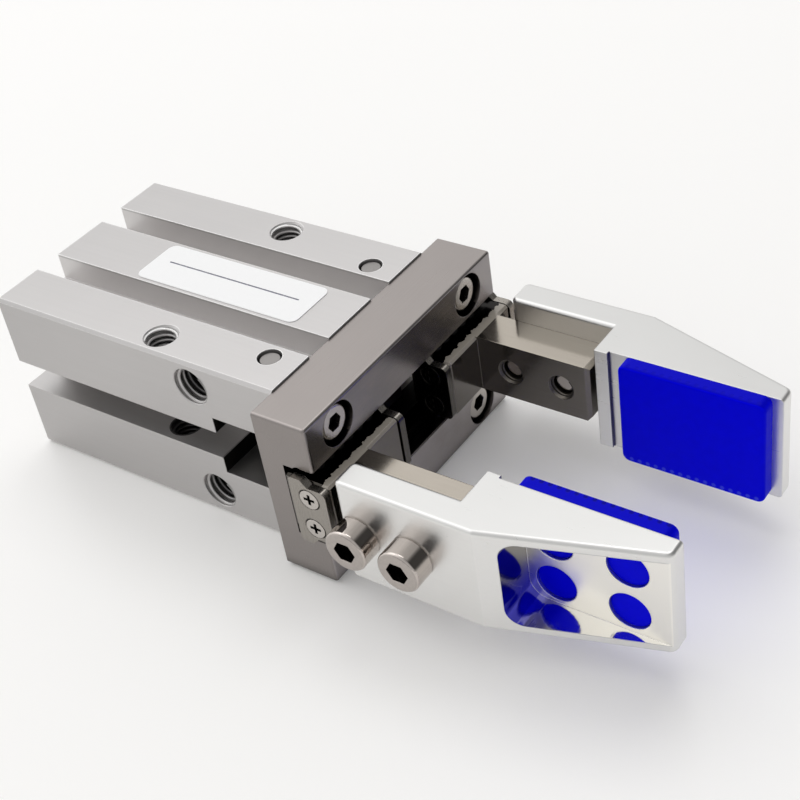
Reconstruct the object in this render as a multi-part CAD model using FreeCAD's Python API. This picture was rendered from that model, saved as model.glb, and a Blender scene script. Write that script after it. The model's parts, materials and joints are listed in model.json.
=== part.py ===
import FreeCAD
import Part
import math
import os

# Pneumatic parallel gripper: a double-acting cylinder in an extruded body, two bell-crank levers,
# two fingers on ball guides in a steel guide plate, and a padded jaw bolted to each finger.
# Millimetres. +X runs from the rear mounting face to the jaw tips, +Y to the left, +Z up.
# The origin is on the cylinder axis at the rear face. The pieces stand with the fingers fully open.

V = FreeCAD.Vector

# Motion
finger_travel = 4.0
running_gap = 0.03
slide_gap = 0.1

# How far a cut runs past the face that it opens
cut_over = 1.0

# Extruded body
body_length = 44.8
body_width = 30.6
body_height = 23.6
body_edge = 0.4
centre_rib_width = 8.5
top_groove_width = 3.8
cylinder_wall = 0.5
side_slot_height = 4.0
side_slot_wall = 1.0
lever_bay_depth = 10.7
lever_bay_gap = 0.1
rod_wall = 8.1

# Body holes, placed from the body's faces
mount_hole_radius = 2.0
mount_hole_from_bay = 8.5
mount_hole_inset = 3.0
rear_hole_depth = 8.0
rear_hole_side_inset = 3.3
rear_hole_top_inset = 4.8
port_radius = 2.5
port_depth = 5.0
port_from_bay = 2.3
port_top_inset = 3.6
passage_radius = 0.7
passage_inset = 0.7
passage_entry_angle = 30.0
drill_point_angle = 118.0
hole_countersink = 0.25
port_countersink = 0.1

# Cylinder
bore_radius = 8.0
locating_recess_radius = 8.5
locating_recess_depth = 1.5
cap_step = 0.3
cap_length = 5.0
cap_seal_section = 1.6
cap_dimple_radius = 1.0
ring_thickness = 1.0
ring_groove_step = 0.45
ring_width = 1.5
ring_gap_angle = 50.0
ring_ear_radius = 1.35
ring_ear_hole_radius = 0.65
bumper_thickness = 1.0
rear_bumper_radius = 6.0
front_bumper_radius = 6.8
bumper_hole_radius = 4.2
stop_gap = 0.1
press_gap = 0.005

# Piston and rod
piston_gap = 0.06
piston_seal_width = 2.2
piston_seal_depth = 1.8
magnet_width = 3.2
magnet_depth = 1.3
piston_land_share = 0.225
groove_side_gap = 0.1
rod_radius = 2.5
rod_spigot_radius = 1.5
rod_thread_length = 5.0
nut_flats = 5.5
nut_height = 2.4
nut_recess_radius = 3.6
rod_seal_radius = 4.4
rod_seal_length = 2.8
rod_bush_radius = 3.3

# Levers and their pins
pin_radius = 1.5
pin_recess = 0.3
pin_edge = 0.3
lever_pin_setback = 4.2
lever_pin_inset = 5.2
lever_thickness = 4.0
lever_hub_radius = 3.2
lever_bush_wall = 0.7
lever_arm_half_width = 1.2
lever_end_radius = 1.75
lever_tip_inset = 0.9
bush_end_gap = 0.2

# Rod head, the grooved block that carries both levers
rod_contact_y = 4.1
rod_head_half_width = 6.0
rod_head_gap = 0.4
rod_head_rear_flange = 2.4
rod_head_front_flange = 1.7
rod_head_neck_radius = 2.2

# Guide plate
guide_width = 38.0
guide_thickness = 7.5
guide_top_inset = 0.25
guide_edge = 0.4
channel_edge = 0.25
channel_depth = 4.3
guide_bar_height = 6.35
guide_window_margin = 0.9
guide_window_inset = 1.0
guide_screw_side_inset = 1.9
guide_screw_top_inset = 3.05
guide_screw_length = 10.0
counterbore_depth = 3.0
counterbore_gap = 0.5

# Ball guides
ball_radius = 0.9
ball_gap = 0.05
ball_inset = 2.1

# Fingers
slider_height_gap = 1.2
slider_proud = 1.9
slider_inner_y = 5.5
arm_inner_y = 11.5
arm_thickness = 5.0
arm_length = 15.4
arm_chamfer = 0.5
slider_chamfer = 0.3
pocket_wall = 3.0
jaw_hole_from_slider = 4.5
jaw_hole_pitch = 7.0

# End plates
end_plate_thickness = 1.0
end_plate_proud = 1.0
end_plate_rear_margin = 1.2
end_plate_front_proud = 0.1
end_plate_height_gap = 0.4
end_plate_front_inset = 0.1
end_plate_rear_corner = 0.4
end_plate_front_corner = 0.8
end_plate_screw_share = 0.55
end_plate_screw_radius = 0.8
end_plate_screw_length = 4.0
end_plate_head_radius = 1.5
end_plate_head_height = 0.8
end_plate_head_edge = 0.2
cross_recess_half_length = 0.75
cross_recess_half_width = 0.2
cross_recess_depth = 0.55

# Jaws
jaw_height = 14.2
jaw_rear_from_slider = 2.1
jaw_tail_thickness = 3.9
jaw_arm_clearance = 1.0
jaw_lip_length = 1.7
jaw_lip_proud = 0.45
jaw_seat_y = 12.0
jaw_bend_from_arm = 4.4
jaw_plate_length = 19.3
jaw_pad_start = 2.0
jaw_tip_thickness = 2.35
jaw_tip_radius = 1.0
jaw_edge = 0.5
jaw_corner_radius = 0.8
jaw_pocket_floor = 2.4
jaw_pocket_from_pad = 2.1
jaw_pocket_rim = 1.15
jaw_pocket_radius = 2.2
jaw_screw_length = 8.0
clearance_hole_gap = 0.1

# Pads
pad_thickness = 1.9
pad_tip_margin = 1.3
pad_corner_radius = 1.0
pad_edge = 0.35
plug_radius = 2.45
plug_gap = 0.03
plug_recess = 0.4
plug_from_pad_start = 5.5
plug_pitch_x = 8.7
plug_pitch_z = 6.1

# Socket head screws: M2.5 in the guide plate, M3 in the jaws
guide_screw_radius = 1.25
guide_screw_head_radius = 2.25
guide_screw_head_height = 2.5
guide_screw_flats = 2.0
jaw_screw_radius = 1.5
jaw_screw_head_radius = 2.7
jaw_screw_head_height = 2.9
jaw_screw_flats = 2.5
hex_floor = 1.3
screw_edge = 0.3
screw_head_edge = 0.4
screw_seat_edge = 0.15
screw_fit = 0.01

# Stations along the gripper, from the rear face forward
bay_x = body_length - lever_bay_depth
bore_end = bay_x - rod_wall
mount_hole_x = bay_x - mount_hole_from_bay
pin_x = body_length - lever_pin_setback
guide_front = body_length + guide_thickness
channel_x = guide_front - channel_depth
slider_x = channel_x + slide_gap
slider_front = guide_front + slider_proud
arm_end = slider_front + arm_length
cap_x = locating_recess_depth + ring_thickness
cap_front = cap_x + cap_length
ball_x = channel_x + ball_inset
end_plate_rear = slider_x + end_plate_rear_margin
end_plate_front = slider_front + end_plate_front_proud
end_plate_x = (end_plate_rear + end_plate_front) / 2

# Places across the gripper
pin_y = body_width / 2 - lever_pin_inset
mount_hole_y = body_width / 2 - mount_hole_inset
rear_hole_y = body_width / 2 - rear_hole_side_inset
rear_hole_z = body_height / 2 - rear_hole_top_inset
guide_height = body_height - 2 * guide_top_inset
guide_screw_y = body_width / 2 - guide_screw_side_inset
guide_screw_z = guide_height / 2 - guide_screw_top_inset
arm_outer_y = arm_inner_y + arm_thickness
end_plate_inner_y = slider_inner_y - end_plate_thickness
end_plate_outer_y = guide_width / 2 + end_plate_proud
slider_outer_y = end_plate_outer_y - end_plate_thickness
channel_half_height = guide_height / 2 - guide_bar_height
slider_half_height = channel_half_height - slider_height_gap
window_half_height = channel_half_height - guide_window_inset
bay_half_height = window_half_height + lever_bay_gap
rod_head_half_height = window_half_height - rod_head_gap
ball_z = (channel_half_height + slider_half_height) / 2
ball_pitch = 2 * ball_radius + ball_gap
end_plate_screw_z = end_plate_screw_share * slider_half_height

# Lever linkage, symmetric about the middle of the finger's travel
lever_tip_length = slider_x + lever_tip_inset - pin_x
lever_rod_length = pin_y - rod_contact_y
lever_angle = math.asin(finger_travel / 2 / lever_tip_length)
piston_stroke = finger_travel * lever_rod_length / lever_tip_length
lever_tip_y = pin_y + finger_travel / 2
rod_head_x = pin_x + lever_rod_length * math.sin(lever_angle)
rod_head_half_groove = lever_end_radius + slide_gap

# Piston, forward against the front bumper
piston_front = bore_end - bumper_thickness - stop_gap
piston_rear = cap_front + bumper_thickness + stop_gap + piston_stroke
piston_radius = bore_radius - piston_gap
rod_head_rear = rod_head_x - rod_head_half_groove - rod_head_rear_flange
rod_head_front = rod_head_x + rod_head_half_groove + rod_head_front_flange

# Jaw stations
jaw_rear = slider_front + jaw_rear_from_slider
jaw_hole_xs = [slider_front + jaw_hole_from_slider + i * jaw_hole_pitch for i in range(2)]
jaw_step_x = arm_end + jaw_arm_clearance
jaw_outer_y = arm_outer_y + jaw_tail_thickness
jaw_bend_x = arm_end + jaw_bend_from_arm
jaw_pad_x = jaw_step_x + jaw_lip_length + jaw_pad_start
jaw_tip_x = jaw_pad_x + jaw_plate_length
jaw_floor_y = jaw_seat_y + jaw_pocket_floor
pad_tip_x = jaw_tip_x - pad_tip_margin
plug_xs = [jaw_pad_x + plug_from_pad_start + i * plug_pitch_x for i in range(2)]
plug_zs = [-plug_pitch_z / 2, plug_pitch_z / 2]


def block(xs, ys, zs):
    """A box between two values on each axis."""
    return Part.makeBox(xs[1] - xs[0], ys[1] - ys[0], zs[1] - zs[0], V(xs[0], ys[0], zs[0]))


def bar_x(radius, x0, x1, y=0.0, z=0.0):
    """A round bar along X."""
    return Part.makeCylinder(radius, x1 - x0, V(x0, y, z), V(1, 0, 0))


def bar_y(radius, y0, y1, x, z=0.0):
    """A round bar along Y."""
    return Part.makeCylinder(radius, y1 - y0, V(x, y0, z), V(0, 1, 0))


def bar_z(radius, z0, z1, x, y):
    """A round bar along Z."""
    return Part.makeCylinder(radius, z1 - z0, V(x, y, z0), V(0, 0, 1))


def tube_x(inner, outer, x0, x1):
    """A ring round the cylinder axis."""
    return bar_x(outer, x0, x1).cut(bar_x(inner, x0 - cut_over, x1 + cut_over))


def plate_z(points, half_height):
    """A flat plate from an outline in X and Y, centred on Z = 0."""
    outline = [V(x, y, -half_height) for x, y in points]
    face = Part.Face(Part.makePolygon(outline + outline[:1]))
    return face.extrude(V(0, 0, 2 * half_height))


def plate_y(points, y0, y1):
    """A flat plate from an outline in X and Z, between two values of Y."""
    outline = [V(x, y0, z) for x, z in points]
    face = Part.Face(Part.makePolygon(outline + outline[:1]))
    return face.extrude(V(0, y1 - y0, 0))


def hexagon(flats, x0, x1):
    """A hexagonal prism along X."""
    corner = flats / math.sqrt(3)
    angles = [math.radians(60 * i) for i in range(6)]
    ring = [V(x0, corner * math.cos(a), corner * math.sin(a)) for a in angles]
    return Part.Face(Part.makePolygon(ring + ring[:1])).extrude(V(x1 - x0, 0, 0))


def along(edge, direction):
    """True for a straight edge that runs along the direction."""
    if not isinstance(edge.Curve, Part.Line):
        return False
    return abs(abs(edge.Curve.Direction.dot(direction)) - 1) < 1e-6


def edges_along(shape, direction):
    """The straight edges of a shape that run along the direction."""
    return [edge for edge in shape.Edges if along(edge, direction)]


def edges_near(shape, direction, places):
    """The edges along the direction whose X and Y are those of one of the places."""
    found = []
    for edge in edges_along(shape, direction):
        middle = edge.CenterOfMass
        if any(math.hypot(middle.x - x, middle.y - y) < 1e-4 for x, y in places):
            found.append(edge)
    return found


def corners_at(plate, x):
    """The corner edges of an upright plate that stand at one value of X."""
    return [edge for edge in edges_along(plate, V(0, 1, 0)) if abs(edge.CenterOfMass.x - x) < 1e-4]


def rim_edges(shape, half_height):
    """The edges that lie in a plate's top or bottom face."""
    def in_face(edge):
        box = edge.BoundBox
        return box.ZLength < 1e-6 and abs(abs(box.ZMin) - half_height) < 1e-6
    return [edge for edge in shape.Edges if in_face(edge)]


def mirrored(shape):
    """The same piece on the right-hand side."""
    return shape.mirror(V(0, 0, 0), V(0, 1, 0))


def both_sides(shapes):
    """The shapes and their mirror images across the gripper."""
    return shapes + [mirrored(shape) for shape in shapes]


def placed(shape, place, direction):
    """A piece made along +X, turned to the direction and moved to its place."""
    moved = shape.copy()
    moved.Placement = FreeCAD.Placement(place, FreeCAD.Rotation(V(1, 0, 0), direction))
    return moved


def mouth(radius, width, place, inward):
    """The countersink of that width at the mouth of a tapped hole."""
    return Part.makeCone(radius + width, radius, width, place, inward)


def drill_point(radius, place, inward):
    """The cone that a drill leaves at the bottom of a hole."""
    depth = radius / math.tan(math.radians(drill_point_angle / 2))
    return Part.makeCone(radius, 0, depth, place, inward)


def socket_screw(radius, head_radius, head_height, flats, length):
    """A socket head screw along X, its head's seat at the origin and its shank towards -X."""
    head = bar_x(head_radius, 0, head_height)
    top = [e for e in head.Edges if abs(e.BoundBox.XMin - head_height) < 1e-6]
    head = head.makeFillet(screw_head_edge, top)
    seat = [e for e in head.Edges if abs(e.BoundBox.XMax) < 1e-6]
    head = head.makeChamfer(screw_seat_edge, seat).cut(hexagon(flats, hex_floor, head_height + cut_over))
    shank_radius = radius - screw_fit
    shank_end = screw_edge - length
    shank = bar_x(shank_radius, shank_end, 0)
    tip = Part.makeCone(shank_radius, shank_radius - screw_edge, screw_edge,
                        V(shank_end, 0, 0), V(-1, 0, 0))
    return head.fuse([shank, tip]).removeSplitter()


def countersunk_screw():
    """A small cross-recess screw along X, the top of its head at the origin and its shank towards -X."""
    shank_radius = end_plate_screw_radius - screw_fit
    head_radius = end_plate_head_radius - screw_fit
    head = Part.makeCone(head_radius, shank_radius, end_plate_head_height, V(0, 0, 0), V(-1, 0, 0))
    top = [e for e in head.Edges if e.BoundBox.XMin > -1e-4]
    head = head.makeChamfer(end_plate_head_edge, top)
    shank = bar_x(shank_radius, screw_fit - end_plate_screw_length, -end_plate_head_height)
    arms = ((cross_recess_half_length, cross_recess_half_width),
            (cross_recess_half_width, cross_recess_half_length))
    cross = [block((-cross_recess_depth, cut_over), (-a, a), (-b, b)) for a, b in arms]
    return head.fuse(shank).removeSplitter().cut(cross)


def make_body():
    """The extruded aluminium body with its bore, lever bay, grooves and holes."""
    half_width = body_width / 2
    half_height = body_height / 2
    body = block((0, body_length), (-half_width, half_width), (-half_height, half_height))
    body = body.makeChamfer(body_edge, edges_along(body, V(1, 0, 0)))
    cap_radius = bore_radius + cap_step
    ring_groove_radius = cap_radius + ring_groove_step
    groove_y = centre_rib_width / 2
    groove_z = math.sqrt((ring_groove_radius + cylinder_wall) ** 2 - groove_y ** 2)
    slot_y = ring_groove_radius + side_slot_wall
    half_slot = side_slot_height / 2
    screw_reach = guide_front - counterbore_depth - guide_screw_length
    through_x = (-cut_over, body_length + cut_over)
    through_z = (-half_height - cut_over, half_height + cut_over)
    side = [
        block(through_x, (slot_y, half_width + cut_over), (-half_slot, half_slot)),
        bar_z(mount_hole_radius, *through_z, mount_hole_x, mount_hole_y),
        bar_z(pin_radius + press_gap, *through_z, pin_x, pin_y),
    ]
    for top in (1, -1):
        groove_ys = (groove_y, groove_y + top_groove_width)
        groove_zs = sorted((top * groove_z, top * through_z[1]))
        hole_z = top * rear_hole_z
        side += [
            block(through_x, groove_ys, groove_zs),
            bar_x(mount_hole_radius, -cut_over, rear_hole_depth, rear_hole_y, hole_z),
            drill_point(mount_hole_radius, V(rear_hole_depth, rear_hole_y, hole_z), V(1, 0, 0)),
            mouth(mount_hole_radius, hole_countersink, V(0, rear_hole_y, hole_z), V(1, 0, 0)),
            bar_x(guide_screw_radius, screw_reach, through_x[1], guide_screw_y, top * guide_screw_z),
            mouth(mount_hole_radius, hole_countersink, V(mount_hole_x, mount_hole_y, top * half_height),
                  V(0, 0, -top)),
        ]
    middle = [
        bar_x(bore_radius, cap_front - cut_over, bore_end),
        bar_x(cap_radius, -cut_over, cap_front),
        bar_x(locating_recess_radius, -cut_over, locating_recess_depth),
        bar_x(ring_groove_radius, locating_recess_depth, cap_x),
        bar_x(rod_seal_radius, bore_end - cut_over, bore_end + rod_seal_length),
        bar_x(rod_bush_radius, bore_end, bay_x + cut_over),
        block((bay_x, through_x[1]), (-half_width - cut_over, half_width + cut_over),
              (-bay_half_height, bay_half_height)),
    ]
    return body.cut(middle + both_sides(side) + air_ports())


def air_ports():
    """Two tapped ports in the right-hand side, each with a drilled passage to its end of the bore."""
    port_x = bay_x - port_from_bay
    port_z = body_height / 2 - port_top_inset
    side_y = -body_width / 2
    floor_y = side_y + port_depth
    chamber_y = -bore_radius * math.cos(math.radians(passage_entry_angle))
    chamber_z = bore_radius * math.sin(math.radians(passage_entry_angle))
    stations = ((1, bore_end - bumper_thickness / 2), (-1, cap_front + bumper_thickness / 2))
    cuts = []
    for top, chamber_x in stations:
        start = V(port_x, floor_y + passage_inset, top * (port_z - passage_inset))
        run = V(chamber_x, chamber_y, top * chamber_z) - start
        cuts += [
            bar_y(port_radius, side_y - cut_over, floor_y, port_x, top * port_z),
            drill_point(port_radius, V(port_x, floor_y, top * port_z), V(0, 1, 0)),
            mouth(port_radius, port_countersink, V(port_x, side_y, top * port_z), V(0, 1, 0)),
            Part.makeCylinder(passage_radius, run.Length, start, run),
        ]
    return cuts


def make_rear_cap():
    """The plug that closes the rear of the bore, with a groove for its seal."""
    outer = bore_radius + cap_step - press_gap
    cap = bar_x(outer, cap_x, cap_front)
    middle = (cap_x + cap_front) / 2
    half = cap_seal_section / 2
    groove = tube_x(outer - cap_seal_section, outer + cut_over, middle - half, middle + half)
    dimple = Part.makeCone(cap_dimple_radius, 0, cap_dimple_radius, V(cap_x, 0, 0), V(1, 0, 0))
    return cap.cut([groove, dimple])


def make_cap_seal():
    """The ring seal in the rear cap's groove."""
    outer = bore_radius + cap_step - press_gap
    half = cap_seal_section / 2
    middle = (cap_x + cap_front) / 2
    return Part.makeTorus(outer - half, half - groove_side_gap / 2, V(middle, 0, 0), V(1, 0, 0))


def make_retaining_ring():
    """The sprung ring that holds the rear cap in, with two eyes for the pliers."""
    outer = bore_radius + cap_step + ring_groove_step - press_gap
    inner = outer - ring_width
    xs = (locating_recess_depth, cap_x - press_gap)
    ring = tube_x(inner, outer, *xs)
    half_gap = math.radians(ring_gap_angle / 2)
    reach = 2 * outer
    start = xs[0] - cut_over
    edge = [V(start, 0, 0),
            V(start, -reach * math.sin(half_gap), -reach * math.cos(half_gap)),
            V(start, reach * math.sin(half_gap), -reach * math.cos(half_gap))]
    wedge = Part.Face(Part.makePolygon(edge + edge[:1])).extrude(V(xs[1] + cut_over - start, 0, 0))
    ears = []
    holes = []
    ear_at = inner - ring_ear_radius / 2
    turn = half_gap + ring_ear_radius / ear_at
    for hand in (1, -1):
        y = hand * ear_at * math.sin(turn)
        z = -ear_at * math.cos(turn)
        ears.append(bar_x(ring_ear_radius, *xs, y, z))
        holes.append(bar_x(ring_ear_hole_radius, start, xs[1] + cut_over, y, z))
    return ring.cut(wedge).fuse(ears).cut(holes).removeSplitter()


def make_bumpers():
    """The cushions at the two ends of the bore, named by their end."""
    rear = tube_x(bumper_hole_radius, rear_bumper_radius, cap_front, cap_front + bumper_thickness)
    front = tube_x(rod_radius + stop_gap, front_bumper_radius, bore_end - bumper_thickness, bore_end)
    return {"rear_bumper": rear, "front_bumper": front}


def make_rod_guide():
    """The rod's seal and its bush in the wall between the bore and the lever bay."""
    inner = rod_radius + running_gap
    seal = tube_x(inner, rod_seal_radius, bore_end, bore_end + rod_seal_length)
    bush = tube_x(inner, rod_bush_radius, bore_end + rod_seal_length, bay_x)
    return {"rod_seal": seal, "rod_bush": bush}


def piston_grooves():
    """Where the seal's and the magnet's grooves start along the piston."""
    land = piston_land_share * (piston_front - piston_rear - piston_seal_width - magnet_width)
    seal_x = piston_front - land - piston_seal_width
    magnet_x = seal_x - land - magnet_width
    return seal_x, magnet_x


def make_piston():
    """The piston with its two grooves and the recess for the nut."""
    seal_x, magnet_x = piston_grooves()
    beyond = piston_radius + cut_over
    return bar_x(piston_radius, piston_rear, piston_front).cut([
        tube_x(piston_radius - piston_seal_depth, beyond, seal_x, seal_x + piston_seal_width),
        tube_x(piston_radius - magnet_depth, beyond, magnet_x, magnet_x + magnet_width),
        bar_x(nut_recess_radius, piston_rear - cut_over, piston_rear + nut_height + stop_gap),
        bar_x(rod_spigot_radius, piston_rear, piston_front + cut_over),
    ])


def make_piston_rings():
    """The piston's seal and its magnet ring."""
    seal_x, magnet_x = piston_grooves()
    seal_end = seal_x + piston_seal_width - groove_side_gap
    seal = tube_x(piston_radius - piston_seal_depth, bore_radius - running_gap,
                  seal_x + groove_side_gap, seal_end)
    magnet = tube_x(piston_radius - magnet_depth, piston_radius - groove_side_gap, magnet_x,
                    magnet_x + magnet_width)
    return {"piston_seal": seal, "magnet_ring": magnet}


def make_piston_rod():
    """The rod, with a threaded end for the piston's nut and another for the rod head."""
    nut_end = piston_rear + stop_gap
    rod = bar_x(rod_radius, piston_front, rod_head_rear)
    tail = bar_x(rod_spigot_radius, nut_end, piston_front)
    nose = bar_x(rod_spigot_radius, rod_head_rear, rod_head_rear + rod_thread_length)
    return rod.fuse([tail, nose]).removeSplitter()


def make_piston_nut():
    """The nut that clamps the piston to the rod's shoulder."""
    start = piston_rear + stop_gap
    nut = hexagon(nut_flats, start, start + nut_height)
    return nut.cut(bar_x(rod_spigot_radius, start - cut_over, start + nut_height + cut_over))


def make_rod_head():
    """The grooved block on the end of the rod: both levers sit in its groove."""
    half_width = (-rod_head_half_width, rod_head_half_width)
    half_height = (-rod_head_half_height, rod_head_half_height)
    rear = block((rod_head_rear, rod_head_rear + rod_head_rear_flange), half_width, half_height)
    front = block((rod_head_front - rod_head_front_flange, rod_head_front), half_width, half_height)
    neck = bar_x(rod_head_neck_radius, rod_head_rear, rod_head_front)
    head = rear.fuse([front, neck]).removeSplitter()
    return head.cut(bar_x(rod_spigot_radius, rod_head_rear - cut_over, rod_head_rear + rod_thread_length))


def lever_arm(length, heading, end_radius):
    """One arm of a lever, from the pin out to its round end."""
    half = lever_thickness / 2
    arm = block((0, length), (-lever_arm_half_width, lever_arm_half_width), (-half, half))
    arm = arm.fuse(bar_z(end_radius, -half, half, length, 0))
    arm.rotate(V(0, 0, 0), V(0, 0, 1), heading)
    return arm


def make_lever():
    """The left bell-crank, turned to its open position."""
    half = lever_thickness / 2
    hub = bar_z(lever_hub_radius, -half, half, 0, 0)
    tip_arm = lever_arm(lever_tip_length, 0, lever_end_radius)
    rod_arm = lever_arm(lever_rod_length, -90, lever_end_radius)
    lever = hub.fuse([tip_arm, rod_arm]).removeSplitter()
    lever = lever.cut(bar_z(pin_radius + lever_bush_wall, -half - cut_over, half + cut_over, 0, 0))
    lever.rotate(V(0, 0, 0), V(0, 0, 1), math.degrees(lever_angle))
    lever.translate(V(pin_x, pin_y, 0))
    return lever


def make_lever_bush():
    """The bush that carries the left lever on its pin."""
    reach = bay_half_height - bush_end_gap
    bush = bar_z(pin_radius + lever_bush_wall, -reach, reach, pin_x, pin_y)
    return bush.cut(bar_z(pin_radius + running_gap, -reach - cut_over, reach + cut_over, pin_x, pin_y))


def make_lever_pin():
    """The left lever's pin, pressed through the body from top to bottom."""
    reach = body_height / 2 - pin_recess
    pin = bar_z(pin_radius, -reach, reach, pin_x, pin_y)
    return pin.makeChamfer(pin_edge, rim_edges(pin, reach))


def make_guide():
    """The steel guide plate: a cross channel, ball grooves, a window for the levers and screw holes."""
    half_width = guide_width / 2
    half_height = guide_height / 2
    window_half = lever_tip_y + lever_end_radius + guide_window_margin
    guide = block((body_length, guide_front), (-half_width, half_width), (-half_height, half_height))
    front_rim = [e for e in guide.Edges if e.BoundBox.XMin > guide_front - 1e-6]
    guide = guide.makeFillet(guide_edge, edges_along(guide, V(1, 0, 0)) + front_rim)
    groove = ball_radius + ball_gap
    through_y = (-half_width - cut_over, half_width + cut_over)
    past_front = guide_front + cut_over
    past_rear = body_length - cut_over
    cuts = [
        block((channel_x, past_front), through_y, (-channel_half_height, channel_half_height)),
        block((past_rear, channel_x + cut_over), (-window_half, window_half),
              (-window_half_height, window_half_height)),
    ]
    seat_x = guide_front - counterbore_depth
    for top in (1, -1):
        cuts.append(bar_y(groove, *through_y, ball_x, top * ball_z))
        for hand in (1, -1):
            y = hand * guide_screw_y
            z = top * guide_screw_z
            cuts.append(bar_x(guide_screw_radius + clearance_hole_gap, past_rear, guide_front, y, z))
            cuts.append(bar_x(guide_screw_head_radius + counterbore_gap, seat_x, past_front, y, z))
    guide = guide.cut(cuts)
    mouth_edges = [e for e in guide.Edges if e.BoundBox.XMin > guide_front - 1e-6
                   and e.BoundBox.ZLength < 1e-6 and e.BoundBox.YLength > half_width
                   and abs(abs(e.BoundBox.ZMin) - channel_half_height) < 1e-6]
    return guide.makeChamfer(channel_edge, mouth_edges)


def make_guide_screws():
    """The four screws that hold the guide plate to the body."""
    seat_x = guide_front - counterbore_depth
    screw = socket_screw(guide_screw_radius, guide_screw_head_radius, guide_screw_head_height,
                         guide_screw_flats, guide_screw_length)
    places = [(hand * guide_screw_y, top * guide_screw_z) for hand in (1, -1) for top in (1, -1)]
    return Part.makeCompound([placed(screw, V(seat_x, y, z), V(1, 0, 0)) for y, z in places])


def make_finger():
    """The left finger: a slider in the guide's channel and an arm that carries the jaw."""
    heights = (-slider_half_height, slider_half_height)
    slider = block((slider_x, slider_front), (slider_inner_y, slider_outer_y), heights)
    front_rim = [e for e in slider.Edges if e.BoundBox.XMin > slider_front - 1e-4]
    slider = slider.makeChamfer(slider_chamfer, front_rim + edges_along(slider, V(1, 0, 0)))
    arm = block((slider_front - arm_chamfer, arm_end), (arm_inner_y, arm_outer_y), heights)
    tip_edges = [e for e in arm.Edges if e.BoundBox.XMin > arm_end - 1e-6]
    arm = arm.makeChamfer(arm_chamfer, tip_edges)
    finger = slider.fuse(arm).removeSplitter()
    tip_width = lever_end_radius + slide_gap
    half_lever = lever_thickness / 2 + slide_gap
    pocket_ys = (lever_tip_y - tip_width, lever_tip_y + tip_width)
    past_ends = (slider_inner_y - cut_over, slider_outer_y + cut_over)
    screw_depth = end_plate_screw_length - end_plate_thickness
    cuts = [block((slider_x - cut_over, slider_front - pocket_wall), pocket_ys, (-half_lever, half_lever))]
    for top in (1, -1):
        screw_z = top * end_plate_screw_z
        cuts += [
            bar_y(ball_radius + ball_gap, *past_ends, ball_x, top * ball_z),
            bar_y(end_plate_screw_radius, slider_outer_y - screw_depth, past_ends[1], end_plate_x, screw_z),
            bar_y(end_plate_screw_radius, past_ends[0], slider_inner_y + screw_depth, end_plate_x, screw_z),
        ]
    for x in jaw_hole_xs:
        cuts.append(bar_y(jaw_screw_radius, arm_inner_y - cut_over, arm_outer_y + cut_over, x))
        cuts.append(mouth(jaw_screw_radius, hole_countersink, V(x, arm_inner_y, 0), V(0, 1, 0)))
    return finger.cut(cuts)


def make_end_plate(slider_y, face_y):
    """One of the left slider's end plates, from the slider's end out to the plate's face."""
    raised = channel_half_height - end_plate_height_gap
    low = slider_half_height - end_plate_front_inset
    shoulder = ball_x + ball_radius
    upper = [(end_plate_front, low), (shoulder + raised - low, low),
             (shoulder, raised), (end_plate_rear, raised)]
    lower = [(x, -z) for x, z in reversed(upper)]
    inner_y, outer_y = sorted((slider_y, face_y))
    plate = plate_y(upper + lower, inner_y, outer_y)
    plate = plate.makeFillet(end_plate_rear_corner, corners_at(plate, end_plate_rear))
    plate = plate.makeFillet(end_plate_front_corner, corners_at(plate, end_plate_front))
    inward = V(0, 1, 0) if slider_y > face_y else V(0, -1, 0)
    cuts = []
    for top in (1, -1):
        z = top * end_plate_screw_z
        cuts.append(bar_y(end_plate_screw_radius, inner_y - cut_over, outer_y + cut_over, end_plate_x, z))
        cuts.append(Part.makeCone(end_plate_head_radius, end_plate_screw_radius, end_plate_head_height,
                                  V(end_plate_x, face_y, z), inward))
    return plate.cut(cuts)


def make_end_plate_screws():
    """The small countersunk screws of the left slider's end plates."""
    screw = countersunk_screw()
    ends = ((end_plate_inner_y, V(0, -1, 0)), (end_plate_outer_y, V(0, 1, 0)))
    return Part.makeCompound([placed(screw, V(end_plate_x, y, top * end_plate_screw_z), outward)
                              for y, outward in ends for top in (1, -1)])


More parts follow.
